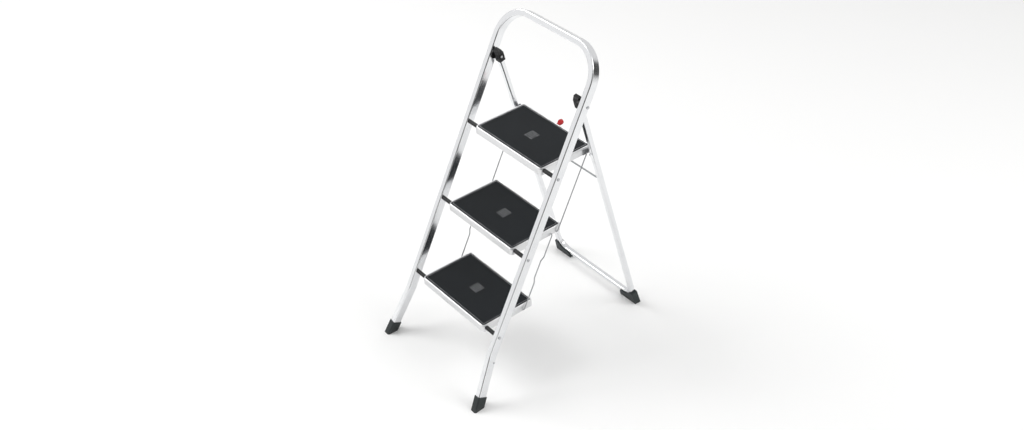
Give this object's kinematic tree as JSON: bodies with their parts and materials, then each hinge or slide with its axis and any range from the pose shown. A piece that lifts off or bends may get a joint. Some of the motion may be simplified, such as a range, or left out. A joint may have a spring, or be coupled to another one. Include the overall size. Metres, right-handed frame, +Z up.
{
  "type": "folding step stool",
  "caption": "Folding step stool with a tubular hoop frame, matted tray treads on cross rods, wire links and a hinged rear frame with a hooked catch.",
  "frame": {"origin": "on the floor, under the middle of the open stool", "axes": "+Z up, +Y from the climbing side to the rear frame, +X to the right as one climbs"},
  "size_m": [0.4976, 0.7312, 1.0326],
  "materials": {
    "polished_tube": "bright polished",
    "tray_metal": "satin",
    "mat_rubber": "fine ribbed matte",
    "foot_rubber": "moulded matte",
    "black_plastic": "moulded satin",
    "plated_steel": "zinc plated",
    "dark_steel": "black coated sheet",
    "red_plastic": "glossy moulded"
  },
  "bodies": {
    "front_frame": {"front_frame": "polished_tube", "front_foot_left": "foot_rubber", "front_foot_right": "foot_rubber", "hinge_plate_left": "black_plastic", "hinge_plate_right": "black_plastic", "hinge_bolt_left": "plated_steel", "hinge_bolt_right": "plated_steel", "leg_rivets": "plated_steel", "pivot_rod_top": "plated_steel", "pivot_rod_middle": "plated_steel", "pivot_rod_bottom": "plated_steel", "rod_sleeves_top": "black_plastic", "rod_sleeves_middle": "black_plastic", "rod_sleeves_bottom": "black_plastic"},
    "rear_frame": {"rear_frame": "polished_tube", "rear_shoe_left": "foot_rubber", "rear_shoe_right": "foot_rubber", "rear_cross_rod": "plated_steel", "stop_pins": "plated_steel", "hinge_cap_left": "black_plastic", "hinge_cap_right": "black_plastic"},
    "tread_top": {"tray_top": "tray_metal", "tray_bushes_top": "black_plastic", "mat_top": "mat_rubber", "catch_brackets": "dark_steel", "catch_spring": "plated_steel"},
    "tread_middle": {"tray_middle": "tray_metal", "tray_bushes_middle": "black_plastic", "mat_middle": "mat_rubber"},
    "tread_bottom": {"tray_bottom": "tray_metal", "tray_bushes_bottom": "black_plastic", "mat_bottom": "mat_rubber"},
    "link_upper_left": {"link_upper_left": "plated_steel"},
    "link_upper_right": {"link_upper_right": "plated_steel"},
    "link_lower_left": {"link_lower_left": "plated_steel"},
    "link_lower_right": {"link_lower_right": "plated_steel"},
    "catch": {"catch_bar": "dark_steel", "catch_hook_left": "dark_steel", "catch_hook_right": "dark_steel", "release_knob": "red_plastic"}
  },
  "joints": [
    {"name": "rear_frame_fold", "type": "hinge", "parent": "front_frame", "child": "rear_frame", "pos_m": [0, 0.12741, 0.875], "axis": [-1, 0, 0], "range_deg": [0, 37.5]},
    {"name": "tread_top_tilt", "type": "hinge", "parent": "front_frame", "child": "tread_top", "pos_m": [0, 0.01071, 0.6798], "axis": [1, 0, 0], "range_deg": [0, 55.31]},
    {"name": "tread_middle_tilt", "type": "hinge", "parent": "front_frame", "child": "tread_middle", "pos_m": [0, -0.11291, 0.4473], "axis": [1, 0, 0], "range_deg": [0, 55.31]},
    {"name": "tread_bottom_tilt", "type": "hinge", "parent": "front_frame", "child": "tread_bottom", "pos_m": [0, -0.23653, 0.2148], "axis": [1, 0, 0], "range_deg": [0, 55.31]},
    {"name": "link_upper_left_swing", "type": "hinge", "parent": "tread_top", "child": "link_upper_left", "pos_m": [-0.165, 0.17101, 0.67], "axis": [-1, 0, 0], "range_deg": [0, 55.31]},
    {"name": "link_upper_right_swing", "type": "hinge", "parent": "tread_top", "child": "link_upper_right", "pos_m": [0.165, 0.17101, 0.67], "axis": [-1, 0, 0], "range_deg": [0, 55.31]},
    {"name": "link_lower_left_swing", "type": "hinge", "parent": "tread_middle", "child": "link_lower_left", "pos_m": [-0.165, 0.02789, 0.4375], "axis": [-1, 0, 0], "range_deg": [0, 55.31]},
    {"name": "link_lower_right_swing", "type": "hinge", "parent": "tread_middle", "child": "link_lower_right", "pos_m": [0.165, 0.02789, 0.4375], "axis": [-1, 0, 0], "range_deg": [0, 55.31]},
    {"name": "catch_release", "type": "hinge", "parent": "tread_top", "child": "catch", "pos_m": [0, 0.18451, 0.678], "axis": [1, 0, 0], "range_deg": [0, 15], "stiffness_Nm_per_rad": 0.3, "springref_deg": -17.19}
  ],
  "couplings": [
    {"joint": "tread_top_tilt", "follows": "rear_frame_fold", "ratio": 1.475},
    {"joint": "tread_middle_tilt", "follows": "rear_frame_fold", "ratio": 1.475},
    {"joint": "tread_bottom_tilt", "follows": "rear_frame_fold", "ratio": 1.475},
    {"joint": "link_upper_left_swing", "follows": "rear_frame_fold", "ratio": 1.475},
    {"joint": "link_upper_right_swing", "follows": "rear_frame_fold", "ratio": 1.475},
    {"joint": "link_lower_left_swing", "follows": "rear_frame_fold", "ratio": 1.475},
    {"joint": "link_lower_right_swing", "follows": "rear_frame_fold", "ratio": 1.475}
  ]
}
